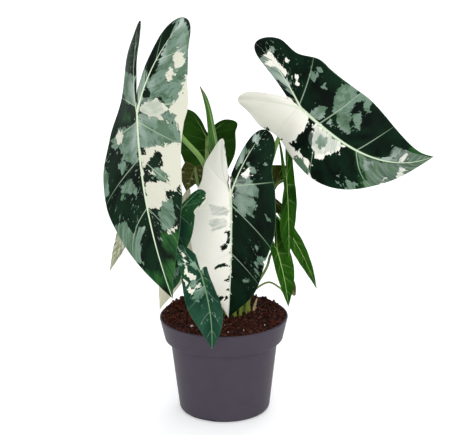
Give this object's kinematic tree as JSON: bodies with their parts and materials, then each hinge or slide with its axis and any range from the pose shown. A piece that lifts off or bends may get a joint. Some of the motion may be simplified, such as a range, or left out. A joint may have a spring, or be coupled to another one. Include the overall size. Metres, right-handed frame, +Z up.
{
  "type": "potted alocasia",
  "caption": "Variegated alocasia with arrow-shaped leaves hanging on slender stems, standing in a round tapered nursery pot of soil.",
  "frame": {"origin": "centre of the underside of the pot, on the surface that it stands on", "axes": "+Z up; -Y is the front, where the two-coloured middle leaf faces; +X is to its right, towards the largest level leaf"},
  "size_m": [0.2919, 0.174, 0.385],
  "materials": {
    "pot": "satin taupe-grey thermoformed polypropylene",
    "soil": "dark red-brown coir and peat mix with white perlite",
    "crown": "yellow-brown stock with green stem feet",
    "variegated_blade": "waxy leaf splashed dark green, sage and cream-white",
    "green_blade": "waxy green leaf, mottled",
    "cream_blade": "cream-white leaf with green flecks",
    "olive_blade": "olive leaf",
    "stem": "smooth yellow-green stem",
    "dry_sheath": "dry straw-coloured sheath"
  },
  "bodies": {
    "root": {"pot": "pot", "soil": "soil", "crown": "crown", "blade_front_left": "variegated_blade", "blade_upper_right": "variegated_blade", "blade_centre": "variegated_blade", "blade_front_low": "variegated_blade", "blade_left_inner": "green_blade", "blade_back_high": "green_blade", "blade_right_narrow": "green_blade", "blade_right_low": "green_blade", "blade_right_outer": "green_blade", "blade_right_back": "olive_blade", "blade_right_small": "olive_blade", "blade_left_back": "cream_blade", "blade_back_low": "cream_blade", "blade_inner_small": "olive_blade", "stem_front_left": "stem", "stem_upper_right": "stem", "stem_centre": "stem", "stem_front_low": "stem", "stem_left_inner": "stem", "stem_back_high": "stem", "stem_right_narrow": "stem", "stem_right_low": "stem", "stem_right_outer": "stem", "stem_right_back": "stem", "stem_right_small": "stem", "stem_left_back": "stem", "stem_back_low": "stem", "stem_inner_small": "stem", "new_leaf": "green_blade", "dry_sheath": "dry_sheath"}
  },
  "joints": []
}
